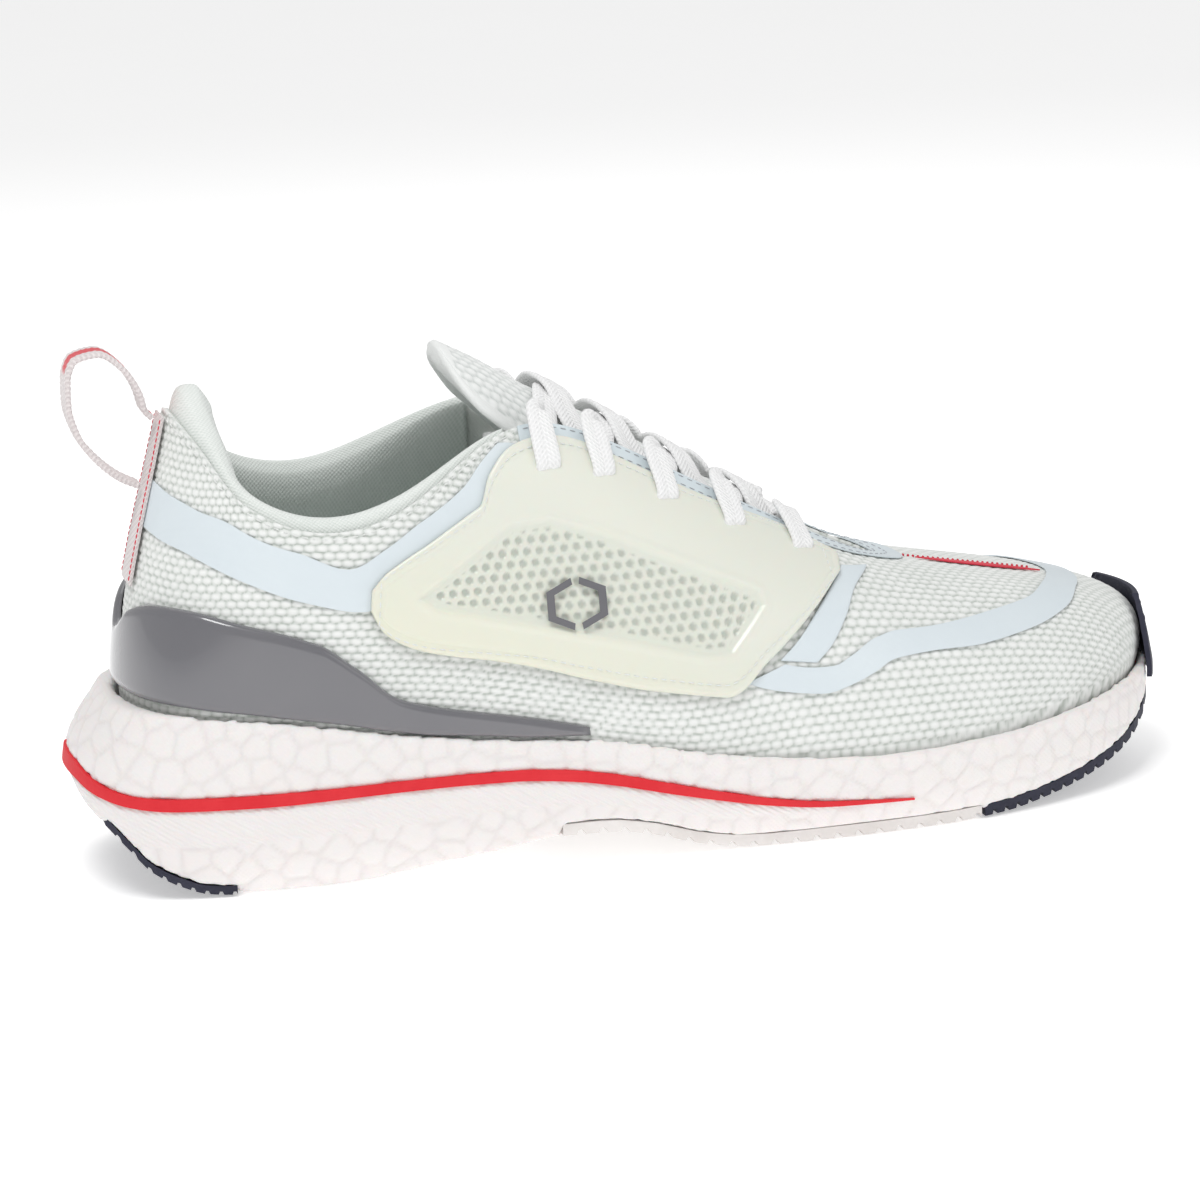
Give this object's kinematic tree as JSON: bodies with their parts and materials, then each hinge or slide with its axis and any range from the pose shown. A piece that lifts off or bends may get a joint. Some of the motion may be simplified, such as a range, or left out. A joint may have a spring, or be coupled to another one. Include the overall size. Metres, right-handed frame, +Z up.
{
  "type": "running shoe",
  "caption": "Right-foot running shoe with a knitted mesh upper, clear side panels, padded collar and tongue, heel pull loop, laces and a sculpted foam sole.",
  "frame": {"origin": "middle of the shoe's box, on the ground under the tread", "axes": "+X towards the toe, -Y towards the outer (lateral) side, +Z up"},
  "size_m": [0.2902, 0.0988, 0.1309],
  "materials": {
    "foam": "matt moulded bead foam",
    "red_rubber": "satin",
    "black_rubber": "matt",
    "white_rubber": "matt",
    "grey_tpu": "gloss",
    "clear_tpu": "translucent satin",
    "film": "pearl satin film",
    "mesh": "knitted mesh",
    "lining": "soft textile",
    "padding": "padded textile",
    "board": "needled sheet",
    "stiffener": "matt",
    "lace": "flat woven",
    "webbing": "woven",
    "print": "ink",
    "mark": "raised ink"
  },
  "bodies": {
    "shoe": {"midsole": "foam", "sidewall_stripe": "red_rubber", "toe_guard": "black_rubber", "strobel_board": "board", "upper_mesh": "mesh", "upper_lining": "lining", "heel_counter": "stiffener", "toe_puff": "stiffener", "collar_pad": "padding", "eyestay": "film", "side_panel_lateral": "clear_tpu", "side_panel_medial": "clear_tpu", "heel_film_lateral": "film", "heel_film_medial": "film", "toe_film": "film", "throat_tab_lateral": "film", "throat_tab_medial": "film", "heel_clip": "grey_tpu", "heel_tape": "webbing", "vamp_print": "print", "emblem_front": "mark", "emblem_rear": "mark", "lace": "lace", "outsole_heel": "black_rubber", "outsole_forefoot": "white_rubber", "outsole_toe": "black_rubber"},
    "tongue_body": {"tongue": "padding"},
    "loop_body": {"pull_loop": "webbing"},
    "insole_body": {"insole": "padding"}
  },
  "joints": [
    {"name": "tongue_tilt", "type": "hinge", "parent": "shoe", "child": "tongue_body", "pos_m": [0.07213, 0.00319, 0.051], "axis": [0, -1, 0], "range_deg": [0, 10]},
    {"name": "pull_loop_swing", "type": "hinge", "parent": "shoe", "child": "loop_body", "pos_m": [-0.11972, 0.00169, 0.10512], "axis": [0.2515, 0, 0.9679], "range_deg": [-10, 10], "stiffness_Nm_per_rad": 0.002},
    {"name": "insole_lift", "type": "hinge", "parent": "shoe", "child": "insole_body", "pos_m": [0.13213, 0.00469, 0.02], "axis": [0, 1, 0], "range_deg": [0, 4]}
  ]
}
